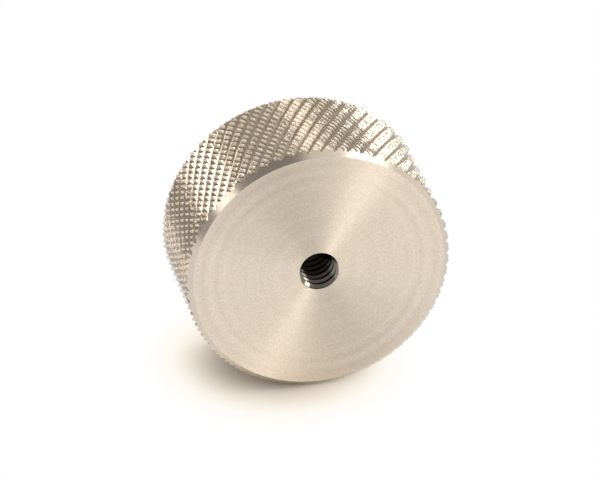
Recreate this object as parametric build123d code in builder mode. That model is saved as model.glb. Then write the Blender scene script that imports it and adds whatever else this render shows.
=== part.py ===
from build123d import *

import os
from math import ceil, cos, floor, pi, radians, sin, tan

# Round knurled hand knob, turned from one piece of bar. Sizes in millimetres.
# It stands on its plain rear face with its axis along +Z, and the front face,
# with the tapped hole, points up.

# Turned body
blank_diameter = 38.1  # before knurling
knob_width = 17.3
rim_chamfer = 0.8  # at 45 degrees on both rims of the blank

# Blind hole, drilled for a quarter-inch coarse thread
tap_drill_diameter = 5.1
drill_depth = 12.7  # to the shoulder above the drill point
drill_point_angle = 118
mouth_diameter = 5.7
mouth_angle = 90

# Diamond knurl: coarse grooves lean one way round the rim, and finer, shallower
# ones cross them the other way. Rolling it raises the crests above the blank.
coarse_grooves = 61
fine_per_coarse = 2
helix_angle = 31.4
coarse_depth = 0.58
fine_depth = 0.48
knurl_rise = 0.3

# How far the cutting shape of the hole runs past the front face
overrun = 1

# Sizes that follow from those above
crest_radius = blank_diameter / 2 + knurl_rise
crest_chamfer = rim_chamfer + knurl_rise
tap_drill_radius = tap_drill_diameter / 2
mouth_radius = mouth_diameter / 2
drill_point_length = tap_drill_radius / tan(radians(drill_point_angle / 2))
mouth_depth = (mouth_radius - tap_drill_radius) / tan(radians(mouth_angle / 2))
shoulder_height = knob_width - drill_depth
coarse_turn = 2 * pi / coarse_grooves
coarse_rise = crest_radius * coarse_turn / tan(radians(helix_angle))
middle_share = 1 / 2
touch_share = 1e-9  # of the knob's width, under which a point lies on a cut


# The rim is laid out flat first. A point there has its turn round the axis as X,
# its height up the rim as Y and its depth below the crests as Z.
def flat_point(across, along, depth):
    """A knurl point, with coarse grooves counted across and fine ones along."""
    fine_count = along / fine_per_coarse
    turn = coarse_turn * (fine_count + across) / 2
    height = coarse_rise * (fine_count - across) / 2
    return Vector(turn, height, depth)


def wrapped(point):
    """The same point on the round knob."""
    radius = crest_radius - point.Z
    return Vector(radius * cos(point.X), radius * sin(point.X), point.Y)


def fan(outline, tip):
    """Flat facets from each stretch of an outline to a tip."""
    stretches = zip(outline, outline[1:])
    return [Face(Wire.make_polygon([wrapped(p) for p in (*ends, tip)])) for ends in stretches]


def fine_floor(along):
    """The floor of a fine groove, up over a ridge from one coarse groove to the next."""
    return [
        flat_point(0, along, coarse_depth),
        flat_point(middle_share, along, fine_depth),
        flat_point(1, along, coarse_depth),
    ]


def tooth(along):
    """The six facets of the pointed tooth between two fine grooves."""
    base = fine_floor(along) + fine_floor(along + 1)[::-1]
    peak = flat_point(middle_share, along + middle_share, 0)
    return [[start, end, peak] for start, end in zip(base, base[1:] + base[:1])]


# On the flat layout a chamfer is a straight cut, and the knurl runs out through it
def front_room(point):
    """How far a point lies below the front chamfer."""
    return knob_width - crest_chamfer + point.Z - point.Y


def rear_room(point):
    """How far a point lies above the rear chamfer."""
    return point.Y - crest_chamfer + point.Z


def trimmed(outline, room):
    """What is left of an outline inside a chamfer."""
    kept = []
    for start, end in zip(outline, outline[1:] + outline[:1]):
        here, there = room(start), room(end)
        if here >= 0:
            kept.append(start)
        if here * there < 0:
            kept.append(start + (end - start) * (here / (here - there)))
    return kept


def cut_edge(outlines, room):
    """The corners of the knurl along a chamfer, in order round the axis."""
    on_cut = {}
    for point in (point for outline in outlines for point in outline):
        if abs(room(point)) < touch_share * knob_width:
            on_cut[round(point.X / coarse_turn, 6)] = point
    return [on_cut[turn] for turn in sorted(on_cut)]


# One coarse ridge with its teeth, cut to length, its stretch of both chamfers and
# the two end faces
first = floor(-2 * fine_per_coarse * crest_chamfer / coarse_rise)
last = ceil(fine_per_coarse * (2 * (knob_width + crest_chamfer) / coarse_rise + 1))
outlines = [outline for along in range(first, last) for outline in tooth(along)]
for room in (front_room, rear_room):
    outlines = [trimmed(outline, room) for outline in outlines]
outlines = [outline for outline in outlines if len(outline) > 2]
ridge = [facet for outline in outlines for facet in fan(outline[1:], outline[0])]
ends = []
for room, height in ((rear_room, 0), (front_room, knob_width)):
    edge = cut_edge(outlines, room)
    turns = [edge[0].X + coarse_turn * half / 2 for half in range(2 * coarse_grooves)]
    rim = [Vector(turn, height, crest_chamfer) for turn in turns]
    ridge += fan([rim[0], *edge, rim[2]], rim[1])
    ends.append(Face(Wire.make_polygon([wrapped(corner) for corner in rim])))

# The ridge repeats round the axis, and the end faces close the skin
skin = [facet.moved(place) for place in PolarLocations(0, coarse_grooves) for facet in ridge]

with BuildPart() as knob:
    add(Solid(Shell(skin + ends)), clean=False)

    # Tapping hole: the cone of the drill point, the bore and a small countersink
    with BuildSketch(Plane.XZ):
        with BuildLine():
            Polyline(
                (0, shoulder_height - drill_point_length),
                (tap_drill_radius, shoulder_height),
                (tap_drill_radius, knob_width - mouth_depth),
                (mouth_radius, knob_width),
                (mouth_radius, knob_width + overrun),
                (0, knob_width + overrun),
                close=True,
            )
        make_face()
    revolve(axis=Axis.Z, clean=False, mode=Mode.SUBTRACT)

knob.part.label = "knob"

os.makedirs("parts", exist_ok=True)
export_step(knob.part, "parts/knob.step", write_pcurves=False)
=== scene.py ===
from math import ceil, floor, pi, radians, sqrt, tan

import bmesh
import bpy
from mathutils import Matrix, Vector


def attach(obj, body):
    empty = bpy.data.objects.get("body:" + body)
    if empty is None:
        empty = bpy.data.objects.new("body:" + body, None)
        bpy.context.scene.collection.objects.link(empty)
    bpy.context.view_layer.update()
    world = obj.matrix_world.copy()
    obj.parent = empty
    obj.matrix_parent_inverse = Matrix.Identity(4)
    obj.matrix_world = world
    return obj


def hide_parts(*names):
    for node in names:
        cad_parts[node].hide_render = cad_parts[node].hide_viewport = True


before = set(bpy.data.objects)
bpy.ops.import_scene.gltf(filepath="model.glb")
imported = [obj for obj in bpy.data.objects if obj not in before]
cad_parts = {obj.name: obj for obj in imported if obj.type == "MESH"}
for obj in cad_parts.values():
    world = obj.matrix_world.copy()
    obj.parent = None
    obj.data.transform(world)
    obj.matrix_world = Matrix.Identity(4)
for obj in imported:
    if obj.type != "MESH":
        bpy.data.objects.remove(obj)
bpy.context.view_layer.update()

MM = 0.001

# The blank, and how far rolling raises the crests of the knurl above it
BLANK_RADIUS = 19.05 * MM
KNURL_RISE = 0.3 * MM
CREST_RADIUS = BLANK_RADIUS + KNURL_RISE
WIDTH = 17.3 * MM
RIM_CHAMFER = 0.8 * MM + KNURL_RISE

# The knurl: coarse grooves lean one way round the rim, and finer ones cross them the other way
COARSE_GROOVES = 61
FINE_PER_COARSE = 2
HELIX_ANGLE = radians(31.4)
COARSE_DEPTH = 0.58 * MM
FINE_DEPTH = 0.48 * MM
STEP_ROUND = 2 * pi * CREST_RADIUS / COARSE_GROOVES
STEP_UP = STEP_ROUND / tan(HELIX_ANGLE)

# Its teeth: a land is the flat share of a pitch at the crest, and levels are shares of a depth
CREST_DEPTH = 0.008 * MM  # of the small flat on top
COARSE_LAND = 0.26
FINE_LAND = 0
COARSE_ROUNDING = 0.12 * MM
FINE_ROUNDING = 0.07 * MM
TOOTH_LEVELS = (1, 0.6, 0.3, 0.12, 0.045)
GROOVE_LEVELS = (0, 0.4, 0.75, 1)
UNEVEN_DEPTH = 0.085 * MM
UNEVEN_SIZE = 0.36 * MM

# The tapped hole
BORE_RADIUS = 2.55 * MM
MOUTH_RADIUS = 2.85 * MM
DRILL_DEPTH = 12.7 * MM
DRILL_POINT_ANGLE = radians(118)
DRILL_POINT = BORE_RADIUS / tan(DRILL_POINT_ANGLE / 2)
ROOT_RADIUS = 3.05 * MM
THREAD_PITCH = 1.27 * MM
THREAD_CREST_SHARE = 0.25
THREAD_FLANK = radians(30)
THREAD_DEPTH = 11 * MM
THREAD_TURN = radians(-150)
TAP_PLAY = 0.02 * MM  # between the tap's core and the bore
OVERRUN = 1 * MM
HOLE_SIDES = 96
THREAD_STEPS = 64

# The ring of the front face round the hole, and the opening in the body that it fills
COLLAR_RADIUS = 4 * MM
COLLAR_DEPTH = 16.5 * MM
COLLAR_ROOM = 4.5 * MM

# How close counts as one point, or as on a plane, a cut, a round edge or a round wall
WELD = 0.004 * MM
ON_PLANE = 0.0005 * MM
ON_CUT = 0.0001 * MM
ON_ROUND = 0.01 * MM
ON_WALL = 0.05 * MM
BISECT_THRESHOLD = 1e-8

SMOOTH_ANGLE = radians(36)
CENTRE = (0, 0, 0)
STILL = {"value": (0, 0, 0)}


def begin(add, name, **settings):
    """Add a shape with nothing else selected."""
    bpy.ops.object.select_all(action="DESELECT")
    add(**settings)
    shape = bpy.context.object
    shape.name = name
    return shape


def activate(*shapes):
    """Select only these shapes, the first one active."""
    bpy.ops.object.select_all(action="DESELECT")
    for shape in shapes:
        shape.select_set(True)
    bpy.context.view_layer.objects.active = shapes[0]


def edit(shape):
    """Start editing a shape, with all of it selected."""
    activate(shape)
    bpy.ops.object.mode_set(mode="EDIT")
    bpy.ops.mesh.select_mode(type="VERT")
    bpy.ops.mesh.select_all(action="SELECT")


def leave():
    bpy.ops.object.mode_set(mode="OBJECT")


def pick(shape, kind, test):
    """Select by place: an edge needs both ends and its middle to pass, a face its middle."""
    bpy.ops.mesh.select_mode(type=kind)
    bpy.ops.mesh.select_all(action="DESELECT")
    mesh = bmesh.from_edit_mesh(shape.data)
    if kind == "EDGE":
        for edge in mesh.edges:
            start, end = (corner.co for corner in edge.verts)
            edge.select_set(all(test(place) for place in (start, end, (start + end) / 2)))
    elif kind == "FACE":
        for face in mesh.faces:
            face.select_set(test(face.calc_center_median()))
    else:
        for corner in mesh.verts:
            corner.select_set(test(corner.co))
    mesh.select_flush_mode()
    bmesh.update_edit_mesh(shape.data)


def apply(shape, kind, **settings):
    """Add a modifier with these settings and apply it."""
    activate(shape)
    step = shape.modifiers.new(kind.lower(), kind)
    for name, value in settings.items():
        setattr(step, name, value)
    bpy.ops.object.modifier_apply(modifier=step.name)


def weld(shape):
    """Join the points that meet, and turn all faces outwards."""
    edit(shape)
    bpy.ops.mesh.remove_doubles(threshold=WELD)
    bpy.ops.mesh.select_all(action="SELECT")
    bpy.ops.mesh.normals_make_consistent(inside=False)
    leave()


def discard(*shapes):
    activate(*shapes)
    bpy.ops.object.delete()


def rounded(depth, full_depth, land, rounding):
    """How much of its pitch a ridge fills at a depth: land, rounded shoulder, straight flank."""
    slope = depth * (depth + 2 * rounding)
    full_slope = full_depth * (full_depth + 2 * rounding)
    return land + (1 - land) * sqrt(slope / full_slope)


def ridge_share(depth):
    return rounded(depth, COARSE_DEPTH, COARSE_LAND, COARSE_ROUNDING)


def tooth_share(depth):
    return rounded(depth, FINE_DEPTH, FINE_LAND, FINE_ROUNDING)


def make_tooth():
    """One tooth, laid flat: X round the rim, Y along the axis, Z outwards from the crest."""
    tooth = begin(bpy.ops.mesh.primitive_plane_add, "knurled_knob", size=1)
    edit(tooth)
    across = sqrt(1 / 2)
    along = across / FINE_PER_COARSE
    base = across * ridge_share(FINE_DEPTH)
    bpy.ops.transform.resize(value=(base, along, 1), center_override=CENTRE)
    bpy.ops.transform.translate(value=(0, 0, -FINE_DEPTH))

    # up from the fine groove to the crest
    depths = [FINE_DEPTH * level for level in TOOTH_LEVELS] + [CREST_DEPTH]
    for lower, upper in zip(depths, depths[1:]):
        bpy.ops.mesh.extrude_region_move(TRANSFORM_OT_translate={"value": (0, 0, lower - upper)})
        narrower = ridge_share(upper) / ridge_share(lower)
        shorter = tooth_share(upper) / tooth_share(lower)
        bpy.ops.transform.resize(value=(narrower, shorter, 1), center_override=CENTRE)
    pick(tooth, "FACE", lambda place: abs(place.z + FINE_DEPTH) < ON_PLANE)
    bpy.ops.mesh.delete(type="ONLY_FACE")

    # down both sides to the floor of the coarse groove
    pick(
        tooth,
        "EDGE",
        lambda place: abs(abs(place.x) - base / 2) < ON_PLANE
        and abs(place.z + FINE_DEPTH) < ON_PLANE,
    )
    depths = [FINE_DEPTH + (COARSE_DEPTH - FINE_DEPTH) * level for level in GROOVE_LEVELS]
    for upper, lower in zip(depths, depths[1:]):
        bpy.ops.mesh.extrude_edges_move(TRANSFORM_OT_translate={"value": (0, 0, upper - lower)})
        wider = ridge_share(lower) / ridge_share(upper)
        bpy.ops.transform.resize(value=(wider, 1, 1), center_override=CENTRE)

    # from a square to the diamond that the two sets of grooves leave
    bpy.ops.mesh.select_all(action="SELECT")
    bpy.ops.transform.rotate(value=pi / 4, orient_axis="Z", center_override=CENTRE)
    bpy.ops.transform.resize(value=(STEP_ROUND, STEP_UP, 1), center_override=CENTRE)
    leave()
    return tooth


def make_ridge():
    """One coarse ridge with its share of the chamfers and end faces, wrapped round the axis."""
    ridge = make_tooth()
    first = floor(-2 * FINE_PER_COARSE * RIM_CHAMFER / STEP_UP)
    last = ceil(FINE_PER_COARSE * (2 * (WIDTH + RIM_CHAMFER) / STEP_UP + 1))
    along = (first + 1 / 2) / FINE_PER_COARSE
    edit(ridge)
    bpy.ops.transform.translate(
        value=(STEP_ROUND * (along + 1 / 2) / 2, STEP_UP * (along - 1 / 2) / 2, 0)
    )
    leave()
    apply(
        ridge,
        "ARRAY",
        count=last - first,
        use_relative_offset=False,
        use_constant_offset=True,
        constant_offset_displace=(
            STEP_ROUND / 2 / FINE_PER_COARSE,
            STEP_UP / 2 / FINE_PER_COARSE,
            0,
        ),
        use_merge_vertices=True,
        merge_threshold=WELD,
    )

    # a chamfer trims each end, and its edge is drawn in over the chamfer and the end face
    for height, outwards, inner_radius in ((WIDTH, 1, COLLAR_ROOM), (0, -1, 0)):
        edit(ridge)
        rim = (0, height, -RIM_CHAMFER)
        bpy.ops.mesh.bisect(
            plane_co=rim,
            plane_no=(0, outwards, 1),
            clear_outer=True,
            threshold=BISECT_THRESHOLD,
        )
        pick(
            ridge,
            "EDGE",
            lambda place: abs((place.y - height) * outwards + place.z + RIM_CHAMFER) < ON_CUT,
        )
        bpy.ops.mesh.extrude_edges_move(TRANSFORM_OT_translate=STILL)
        bpy.ops.transform.resize(value=(1, 0, 0), center_override=rim)
        bpy.ops.mesh.extrude_edges_move(TRANSFORM_OT_translate=STILL)
        inner = (0, height, inner_radius - CREST_RADIUS)
        bpy.ops.transform.resize(value=(1, 1, 0), center_override=inner)
        leave()

    # stood up and bent round
    edit(ridge)
    bpy.ops.mesh.normals_make_consistent(inside=False)
    bpy.ops.transform.rotate(value=-pi / 2, orient_axis="X", center_override=CENTRE)
    leave()
    places = [corner.co.x for corner in ridge.data.vertices]
    apply(
        ridge,
        "SIMPLE_DEFORM",
        deform_method="BEND",
        deform_axis="Z",
        angle=(max(places) - min(places)) / CREST_RADIUS,
    )
    edit(ridge)
    bpy.ops.transform.translate(value=(0, -CREST_RADIUS, 0))
    bpy.ops.transform.rotate(value=-pi / 2, orient_axis="Z", center_override=CENTRE)
    leave()
    return ridge


def press_unevenly(body):
    """Press the teeth in, more here than there, but keep the ends of the knurl true."""
    edit(body)
    pick(body, "VERT", lambda place: RIM_CHAMFER < place.z < WIDTH - RIM_CHAMFER)
    bpy.ops.object.vertex_group_add()
    bpy.ops.object.vertex_group_assign()
    leave()
    unevenness = bpy.data.textures.new("unevenness", "CLOUDS")
    unevenness.noise_scale = UNEVEN_SIZE
    apply(
        body,
        "DISPLACE",
        texture=unevenness,
        texture_coords="LOCAL",
        mid_level=1,
        strength=UNEVEN_DEPTH,
        vertex_group=body.vertex_groups[0].name,
    )
    bpy.ops.object.vertex_group_remove(all=True)
    bpy.data.textures.remove(unevenness)


def make_body():
    """The knurled blank, open only where the collar goes."""
    body = make_ridge()
    next_ridge = begin(bpy.ops.object.empty_add, "next_ridge")
    next_ridge.rotation_euler.z = 2 * pi / COARSE_GROOVES
    bpy.context.view_layer.update()
    apply(
        body,
        "ARRAY",
        count=COARSE_GROOVES,
        use_relative_offset=False,
        use_object_offset=True,
        offset_object=next_ridge,
        use_merge_vertices=True,
        use_merge_vertices_cap=True,
        merge_threshold=WELD,
    )
    discard(next_ridge)
    weld(body)
    press_unevenly(body)
    return body


def make_drill():
    """The space that the drill and the countersink leave."""
    straight = DRILL_DEPTH - (MOUTH_RADIUS - BORE_RADIUS)
    shoulder = WIDTH - DRILL_DEPTH
    drill = begin(
        bpy.ops.mesh.primitive_cylinder_add,
        "drill",
        vertices=HOLE_SIDES,
        radius=BORE_RADIUS,
        depth=straight,
        location=(0, 0, shoulder + straight / 2),
    )
    bpy.ops.object.transform_apply(location=True)
    edit(drill)
    pick(drill, "FACE", lambda place: place.z > shoulder + straight - ON_PLANE)
    rise = MOUTH_RADIUS - BORE_RADIUS + OVERRUN
    bpy.ops.mesh.extrude_region_move(TRANSFORM_OT_translate={"value": (0, 0, rise)})
    wider = (BORE_RADIUS + rise) / BORE_RADIUS
    bpy.ops.transform.resize(value=(wider, wider, 1), center_override=CENTRE)
    pick(drill, "FACE", lambda place: place.z < shoulder + ON_PLANE)
    bpy.ops.mesh.extrude_region_move(TRANSFORM_OT_translate={"value": (0, 0, -DRILL_POINT)})
    bpy.ops.mesh.merge(type="CENTER")
    leave()
    weld(drill)
    return drill


def make_tap():
    """The space that the tap cuts: the thread's section, screwed up the hole."""
    tap = begin(bpy.ops.mesh.primitive_plane_add, "tap", size=1)
    edit(tap)
    bpy.ops.mesh.merge(type="CENTER")
    bottom = WIDTH - THREAD_DEPTH - THREAD_PITCH
    bpy.ops.transform.translate(value=(BORE_RADIUS - TAP_PLAY, 0, bottom))
    cut = ROOT_RADIUS - BORE_RADIUS
    crest = THREAD_PITCH * THREAD_CREST_SHARE
    flank = cut * tan(THREAD_FLANK)
    root = THREAD_PITCH - crest - 2 * flank
    for out, rise in ((0, crest), (cut, flank), (0, root), (-cut, flank)):
        bpy.ops.mesh.extrude_region_move(TRANSFORM_OT_translate={"value": (out, 0, rise)})
    leave()
    apply(
        tap,
        "SCREW",
        axis="Z",
        angle=2 * pi,
        screw_offset=THREAD_PITCH,
        iterations=ceil((THREAD_DEPTH + OVERRUN) / THREAD_PITCH) + 1,
        steps=THREAD_STEPS,
        render_steps=THREAD_STEPS,
        use_merge_vertices=True,
        merge_threshold=WELD,
    )
    edit(tap)
    bpy.ops.transform.rotate(value=THREAD_TURN, orient_axis="Z", center_override=CENTRE)
    for height, outwards in ((WIDTH + OVERRUN / 2, 1), (WIDTH - THREAD_DEPTH, -1)):
        bpy.ops.mesh.select_all(action="SELECT")
        bpy.ops.mesh.bisect(
            plane_co=(0, 0, height),
            plane_no=(0, 0, outwards),
            use_fill=True,
            clear_outer=True,
            threshold=BISECT_THRESHOLD,
        )
    leave()
    weld(tap)
    return tap


def make_collar():
    """A ring of the front face with the threaded hole below it."""
    collar = begin(
        bpy.ops.mesh.primitive_cylinder_add,
        "collar",
        vertices=HOLE_SIDES,
        radius=COLLAR_RADIUS,
        depth=COLLAR_DEPTH,
        location=(0, 0, WIDTH - COLLAR_DEPTH / 2),
    )
    bpy.ops.object.transform_apply(location=True)
    for cutter in (make_drill(), make_tap()):
        apply(collar, "BOOLEAN", operation="DIFFERENCE", object=cutter, solver="EXACT")
        discard(cutter)

    # only the ring and the hole are kept
    edit(collar)
    pick(
        collar,
        "FACE",
        lambda place: place.z < WIDTH - COLLAR_DEPTH + ON_PLANE
        or (place.xy.length > COLLAR_RADIUS - ON_WALL and place.z < WIDTH - ON_PLANE),
    )
    bpy.ops.mesh.delete(type="FACE")
    leave()
    return collar


def make_knob():
    """The body and the collar as one closed shape."""
    body = make_body()
    collar = make_collar()
    activate(body, collar)
    bpy.ops.object.join()
    edit(body)
    pick(
        body,
        "EDGE",
        lambda place: place.z > WIDTH - ON_PLANE
        and (
            abs(place.xy.length - COLLAR_ROOM) < ON_PLANE
            or abs(place.xy.length - COLLAR_RADIUS) < ON_ROUND
        ),
    )
    bpy.ops.mesh.bridge_edge_loops()
    leave()
    weld(body)
    return body


knob = make_knob()
activate(knob)
bpy.ops.object.shade_smooth_by_angle(angle=SMOOTH_ANGLE)
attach(knob, "root")
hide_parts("knob")


class Value:
    """A number in a shader, so that a sum of them is written as a sum."""

    def __init__(self, finish, socket):
        self.finish = finish
        self.socket = socket

    def maths(self, operation, first, second):
        return self.finish.node("ShaderNodeMath", {"operation": operation}, {0: first, 1: second})

    def __add__(self, other):
        return self.maths("ADD", self, other)

    def __radd__(self, other):
        return self.maths("ADD", other, self)

    def __sub__(self, other):
        return self.maths("SUBTRACT", self, other)

    def __rsub__(self, other):
        return self.maths("SUBTRACT", other, self)

    def __mul__(self, other):
        return self.maths("MULTIPLY", self, other)

    def __rmul__(self, other):
        return self.maths("MULTIPLY", other, self)

    def __truediv__(self, other):
        return self.maths("DIVIDE", self, other)


# The colour sockets of a mix node, which has others by the same names
MIX_FIRST, MIX_SECOND, MIX_RESULT = 6, 7, 2


class Finish:
    """A node tree, with one way to add a node to it."""

    def __init__(self, owner):
        owner.use_nodes = True
        self.owner = owner
        self.tree = owner.node_tree

    def feed(self, socket, value):
        if isinstance(value, Value):
            self.tree.links.new(value.socket, socket)
        else:
            socket.default_value = value

    def node(self, kind, settings, inputs, output=0):
        made = self.tree.nodes.new(kind)
        for name, value in settings.items():
            setattr(made, name, value)
        for name, value in inputs.items():
            self.feed(made.inputs[name], value)
        return Value(self, made.outputs[output])

    def vector(self, operation, first, second, output="Value"):
        settings = {"operation": operation}
        return self.node("ShaderNodeVectorMath", settings, {0: first, 1: second}, output)

    def place(self):
        return self.node("ShaderNodeTexCoord", {}, {}, "Object")

    def along(self, axis):
        """How far a point is along an axis."""
        return self.node("ShaderNodeSeparateXYZ", {}, {0: self.place()}, axis)

    def radius(self):
        """How far a point is from the knob's axis."""
        flat = self.vector("MULTIPLY", self.place(), (1, 1, 0), "Vector")
        return self.vector("DISTANCE", flat, CENTRE)

    def grain(self, size, detail=2):
        """Cloudy marks of a size, from 0 to 1."""
        inputs = {"Vector": self.place(), "Scale": 1 / size, "Detail": detail}
        return self.node("ShaderNodeTexNoise", {}, inputs)

    def spots(self, spacing):
        """How far a point is from the nearest scattered spot, as a share of their spacing."""
        inputs = {"Vector": self.place(), "Scale": 1 / spacing}
        return self.node("ShaderNodeTexVoronoi", {}, inputs, "Distance")

    def rings(self, pitch, detail=2):
        """Turning marks round the axis, from 0 to 1."""
        inputs = {"W": self.radius() / pitch, "Scale": 1, "Detail": detail}
        return self.node("ShaderNodeTexNoise", {"noise_dimensions": "1D"}, inputs)

    def hatch(self, marks, length, detail=2):
        """Marks along the fine grooves: so many to a coarse step, so many ridges long."""
        around = {0: self.along("Y"), 1: self.along("X")}
        angle = self.node("ShaderNodeMath", {"operation": "ARCTAN2"}, around)
        turn = angle * (COARSE_GROOVES / (2 * pi))
        rise = self.along("Z") / STEP_UP
        lie = {0: marks * (turn + rise), 1: (turn - rise) / length}
        flat = self.node("ShaderNodeCombineXYZ", {}, lie)
        inputs = {"Vector": flat, "Scale": 1, "Detail": detail}
        return self.node("ShaderNodeTexNoise", {"noise_dimensions": "2D"}, inputs)

    def mix(self, share, first, second):
        inputs = {"Factor": share, MIX_FIRST: first, MIX_SECOND: second}
        return self.node("ShaderNodeMix", {"data_type": "RGBA"}, inputs, MIX_RESULT)

    def between(self, value, low, high, first=0, second=1):
        """A soft change from the first level to the second as the value goes from low to high."""
        span = {"From Min": low, "From Max": high, "To Min": first, "To Max": second}
        settings = {"interpolation_type": "SMOOTHSTEP"}
        return self.node("ShaderNodeMapRange", settings, {"Value": value, **span})

    def dent(self, height, depth):
        return self.node("ShaderNodeBump", {}, {"Strength": 1, "Distance": depth, "Height": height})

    def metal(self, **sockets):
        shader = self.tree.nodes["Principled BSDF"]
        shader.inputs["Metallic"].default_value = 1
        for name, value in sockets.items():
            self.feed(shader.inputs[name.replace("_", " ").title()], value)
        return self.owner


# The steel of each surface; the face's is painted paler than the rest, as painted light. Roughness
# goes from the first number to the second.
FACE_PALE = (0.985, 0.859, 0.708, 1)
FACE_DULL = (0.83, 0.723, 0.595, 1)
FACE_PIT = (0.45, 0.38, 0.3, 1)
FACE_ROUGHNESS = (0.44, 0.56)
CHAMFER_PALE = (0.67, 0.595, 0.5, 1)
CHAMFER_DULL = (0.63, 0.555, 0.46, 1)
CHAMFER_ROUGHNESS = (0.17, 0.27)
KNURL_CREST = (0.8, 0.715, 0.61, 1)
KNURL_HOLLOW_SHADE = (0.4, 0.325, 0.245, 1)
KNURL_ROUGHNESS = (0.08, 0.22)
BORE_MOUTH = (0.24, 0.215, 0.185, 1)
BORE_DEEP_SHADE = (0.025, 0.022, 0.018, 1)
BORE_ROUGHNESS = (0.08, 0.24)

# Turning marks. A quarter of a turn makes the shine spread across the rings.
FACE_SPREAD = 0.9
CHAMFER_SPREAD = 0.3
SPREAD_TURN = 0.25
FINE_RING = 0.16 * MM
BROAD_RING = 1.1 * MM
BROAD_RING_SHARE = 0.6
RING_DEPTH = 0.002 * MM
CHAMFER_RING = 0.1 * MM

# Stains, mottle and pits on the turned surfaces
FACE_STAIN = 5 * MM
FACE_STAIN_DETAIL = 3
MOTTLE = 0.22 * MM
MOTTLE_RANGE = (0.4, 0.6)
MOTTLE_SHARE = 0.6
PIT_SPACING = 2.6 * MM
PIT_RANGE = (0.025, 0.045)
CHAMFER_STAIN = 0.9 * MM

# The knurl darkens with depth, a painted shade in its grooves, unevenly, and its crests carry burrs
HOLLOW_SHADE_RANGE = (0.08 * MM, 0.38 * MM)
TARNISH = 0.45 * MM
TARNISH_STRENGTH = 0.9
BURR_RANGE = (0.07 * MM, 0.3 * MM)
BURR_IN_HOLLOW = 0.12
BURR = 0.3 * MM
BURR_DEPTH = 0.36 * MM
HATCH_SHARE = 0.65
HATCH_MARKS = 8
HATCH_LENGTH = 0.8
KNURL_GRAIN = 0.25 * MM
MIDDLE = 0.5  # of a pattern that goes from 0 to 1

# The bore is painted far darker than the steel outside, and darker still from the mouth down:
# painted shade in the hole
BORE_SHADE_RANGE = (WIDTH - 4.4 * MM, WIDTH - 0.4 * MM)
BORE_GRAIN = 0.3 * MM


def level(pattern, ends):
    """From the first end to the second as a pattern goes from 0 to 1."""
    low, high = ends
    return low + (high - low) * pattern


def turned_face():
    face = Finish(bpy.data.materials.new("turned_face"))
    fine = face.rings(FINE_RING)
    broad = face.rings(BROAD_RING)
    stain = face.grain(FACE_STAIN, FACE_STAIN_DETAIL)
    mottle = face.between(face.grain(MOTTLE), *MOTTLE_RANGE)
    cloud = (1 - MOTTLE_SHARE) * stain + MOTTLE_SHARE * mottle
    pit = face.between(face.spots(PIT_SPACING), *PIT_RANGE, 1, 0)
    return face.metal(
        base_color=face.mix(pit, face.mix(cloud, FACE_DULL, FACE_PALE), FACE_PIT),
        roughness=level(broad, FACE_ROUGHNESS),
        anisotropic=FACE_SPREAD,
        anisotropic_rotation=SPREAD_TURN,
        normal=face.dent(fine + BROAD_RING_SHARE * broad, RING_DEPTH),
    )


def turned_chamfer():
    chamfer = Finish(bpy.data.materials.new("turned_chamfer"))
    return chamfer.metal(
        base_color=chamfer.mix(chamfer.grain(CHAMFER_STAIN), CHAMFER_DULL, CHAMFER_PALE),
        roughness=level(chamfer.rings(CHAMFER_RING), CHAMFER_ROUGHNESS),
        anisotropic=CHAMFER_SPREAD,
        anisotropic_rotation=SPREAD_TURN,
    )


def rolled_knurl():
    knurl = Finish(bpy.data.materials.new("rolled_knurl"))
    depth = CREST_RADIUS - knurl.radius()
    hatch = knurl.hatch(HATCH_MARKS, HATCH_LENGTH)
    marks = HATCH_SHARE * hatch + (1 - HATCH_SHARE) * knurl.grain(BURR)
    burr = knurl.between(depth, *BURR_RANGE, 1, BURR_IN_HOLLOW) * (marks - MIDDLE)
    tarnish = TARNISH_STRENGTH * (knurl.grain(TARNISH) - MIDDLE)
    return knurl.metal(
        # painted shade: darker the deeper into the grooves, with random tarnish on top
        base_color=knurl.mix(
            knurl.between(depth, *HOLLOW_SHADE_RANGE) + tarnish, KNURL_CREST, KNURL_HOLLOW_SHADE
        ),
        roughness=level(knurl.grain(KNURL_GRAIN), KNURL_ROUGHNESS),
        normal=knurl.dent(burr, BURR_DEPTH),
    )


def tapped_bore():
    bore = Finish(bpy.data.materials.new("tapped_bore"))
    return bore.metal(
        # painted shade: dark in the hole, darker with depth
        base_color=bore.mix(bore.between(bore.along("Z"), *BORE_SHADE_RANGE), BORE_DEEP_SHADE, BORE_MOUTH),
        roughness=level(bore.grain(BORE_GRAIN), BORE_ROUGHNESS),
    )


FINISHES = (turned_face, turned_chamfer, rolled_knurl, tapped_bore)

# An end face looks along the axis, and a chamfer looks straight out from it at 45 degrees
FLAT = 0.99
SLOPE_SLACK = 0.002
STRAIGHT_OUT = 0.999


def finish_of(middle, normal):
    """Which finish a surface of the knob has, by its place and the way it faces."""
    if middle.xy.length < COLLAR_RADIUS and ON_PLANE < middle.z < WIDTH - ON_PLANE:
        return tapped_bore
    if abs(normal.z) > FLAT:
        return turned_face
    sloping = abs(abs(normal.z) - sqrt(1 / 2)) < SLOPE_SLACK
    if sloping and normal.xy.normalized().dot(middle.xy.normalized()) > STRAIGHT_OUT:
        return turned_chamfer
    return rolled_knurl


knob.data.materials.clear()
for finish in FINISHES:
    knob.data.materials.append(finish())
for face in knob.data.polygons:
    face.material_index = FINISHES.index(finish_of(face.center, face.normal))

# The photograph's view: the knob stands on its rim, and the camera looks down on its front face
TABLE_UP = Vector((0.9289, -0.3704, 0)).normalized()
BACK = Vector((0.53664, 0, 0.84381)).normalized()
RIGHT = Vector((-0.36055, -0.90411, 0.2293)).normalized()
UP = BACK.cross(RIGHT)
FURTHER = (BACK.dot(TABLE_UP) * TABLE_UP - BACK).normalized()  # along the table, from the camera
MIDDLE_OF_RIM = Vector((0, 0, WIDTH / 2))

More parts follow.
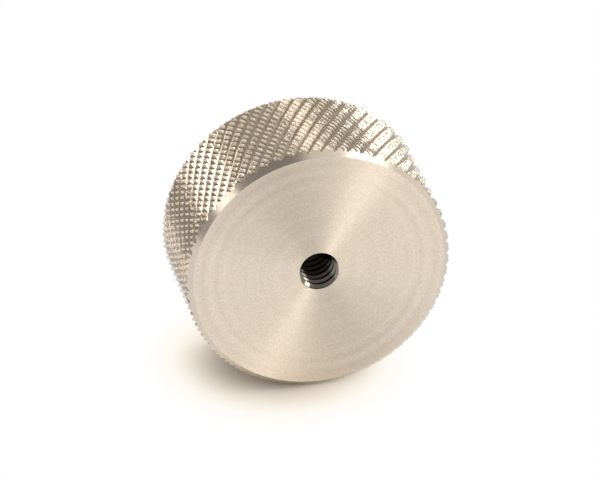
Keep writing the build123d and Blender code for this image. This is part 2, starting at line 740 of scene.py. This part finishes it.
# The table: white to the eye, but for a warm shadow to the left of where the knob stands
TABLE_SIZE = 80 * BLANK_RADIUS
TABLE_PAINT = (0.9, 0.85, 0.77, 1)
WHITE = (1, 1, 1, 1)
SHADOW_TINT = (1, 0.9, 0.74, 1)
SHADOW_SHIFT = 0.2 * BLANK_RADIUS
SHADOW_RANGE = (0.35 * BLANK_RADIUS, 0.87 * BLANK_RADIUS)
SHADOW_WHITE = 0.02
TINT_RANGE = (0.45 * BLANK_RADIUS, 1.1 * BLANK_RADIUS)


def make_table():
    table = begin(bpy.ops.mesh.primitive_plane_add, "table", size=TABLE_SIZE)
    table.rotation_mode = "QUATERNION"
    table.rotation_quaternion = TABLE_UP.to_track_quat("Z", "Y")
    table.location = MIDDLE_OF_RIM - TABLE_UP * CREST_RADIUS

    pale = Finish(bpy.data.materials.new("pale_table"))
    pale.tree.nodes.remove(pale.tree.nodes["Principled BSDF"])
    seen = pale.node("ShaderNodeLightPath", {}, {}, "Is Camera Ray")
    for way in ("Is Glossy Ray", "Is Transmission Ray"):
        seen = seen.maths("MAXIMUM", seen, pale.node("ShaderNodeLightPath", {}, {}, way))
    shadow = table.rotation_quaternion.inverted() @ (-RIGHT * SHADOW_SHIFT)
    spread = pale.vector("DISTANCE", pale.place(), shadow)
    white = pale.between(spread, *SHADOW_RANGE, SHADOW_WHITE, 1)
    tint = pale.mix(pale.between(spread, *TINT_RANGE), SHADOW_TINT, WHITE)
    paint = pale.node("ShaderNodeBsdfDiffuse", {}, {"Color": TABLE_PAINT})
    glow = pale.node("ShaderNodeEmission", {}, {"Color": tint, "Strength": 1})
    top = pale.node("ShaderNodeMixShader", {}, {0: white * seen, 1: paint, 2: glow})

    # it can't be seen from below, so that it doesn't hide the knob in views from there
    below = pale.node("ShaderNodeNewGeometry", {}, {}, "Backfacing")
    clear = pale.node("ShaderNodeBsdfTransparent", {}, {})
    surface = pale.node("ShaderNodeMixShader", {}, {0: below, 1: top, 2: clear})
    pale.feed(pale.tree.nodes["Material Output"].inputs["Surface"], surface)
    table.data.materials.append(pale.owner)


# The studio: bright low down behind the knob, darker overhead and in front. Each pair of levels
# goes from the front to the back, over a range of directions.
STUDIO_TINT = (1, 0.98, 0.95, 1)
STUDIO_LEAN = 0.35  # how far the bright side lies to the right
LOW_RANGE = (-0.8, 0.9)
LOW_LEVELS = (0.42, 1.2)
HIGH_RANGE = (-0.6, 0.3)
HIGH_LEVELS = (0.25, 0.55)
RISE_RANGE = (0.3, 0.95)


def light_studio():
    studio = Finish(bpy.data.worlds.new("studio"))
    bpy.context.scene.world = studio.owner
    way = studio.node("ShaderNodeTexCoord", {}, {}, "Generated")
    rise = studio.vector("DOT_PRODUCT", way, TABLE_UP)
    back = studio.vector("DOT_PRODUCT", way, (FURTHER + STUDIO_LEAN * RIGHT).normalized())
    low = studio.between(back, *LOW_RANGE, *LOW_LEVELS)
    high = studio.between(back, *HIGH_RANGE, *HIGH_LEVELS)
    background = studio.tree.nodes["Background"]
    background.inputs["Color"].default_value = STUDIO_TINT
    studio.feed(background.inputs["Strength"], studio.between(rise, *RISE_RANGE, low, high))


# Soft lamps: direction from the knob, then distance, width and height in radii of the blank,
# and power
LAMP_TINT = (1, 0.97, 0.92)
LAMPS = {
    "right_lamp": ((0.35, -0.85, 0.39), 20, 9, 9, 0.16),
    "left_lamp": ((0.68, 0.54, 0.49), 20, 6, 6, 0.06),
    "right_fill": ((0.62, -0.62, 0.48), 21, 14, 14, 0.1),
    "top_lamp": ((0.885, -0.36, -0.265), 20, 11, 7, 0.4),
    "back_lamp": ((0.79, 0.54, -0.27), 20, 6, 6, 0.075),
    "front_lamp": ((0.043, -0.692, 0.72), 20, 5, 5, 0.15),
}


def soft_lamp(name, direction, distance, width, height, power):
    direction = Vector(direction).normalized()
    place = MIDDLE_OF_RIM + direction * distance * BLANK_RADIUS
    lamp = begin(bpy.ops.object.light_add, name, type="AREA", location=place)
    lamp.rotation_mode = "QUATERNION"
    lamp.rotation_quaternion = direction.to_track_quat("Z", "Y")
    lamp.data.shape = "ELLIPSE"
    lamp.data.size = width * BLANK_RADIUS
    lamp.data.size_y = height * BLANK_RADIUS
    lamp.data.energy = power
    lamp.data.color = LAMP_TINT


# The camera is far off, so that the view is nearly parallel
CAMERA_DISTANCE = 40 * BLANK_RADIUS
CAMERA_RIGHT = -0.1425 * BLANK_RADIUS
CAMERA_UP = 0.2274 * BLANK_RADIUS
CAMERA_SENSOR = 36
CAMERA_LENS = 322.7
CAMERA_REACH = 10


def place_camera():
    camera = bpy.data.objects.new("camera", bpy.data.cameras.new("camera"))
    bpy.context.collection.objects.link(camera)
    camera.data.sensor_width = CAMERA_SENSOR
    camera.data.lens = CAMERA_LENS
    camera.data.clip_end = CAMERA_REACH
    place = Vector((0, 0, WIDTH)) + BACK * CAMERA_DISTANCE + RIGHT * CAMERA_RIGHT + UP * CAMERA_UP
    turn = Matrix((RIGHT, UP, BACK)).transposed()
    camera.matrix_world = Matrix.Translation(place) @ turn.to_4x4()
    bpy.context.scene.camera = camera


make_table()
light_studio()
for name, lamp in LAMPS.items():
    soft_lamp(name, *lamp)
place_camera()
bpy.context.scene.view_settings.view_transform = "Standard"
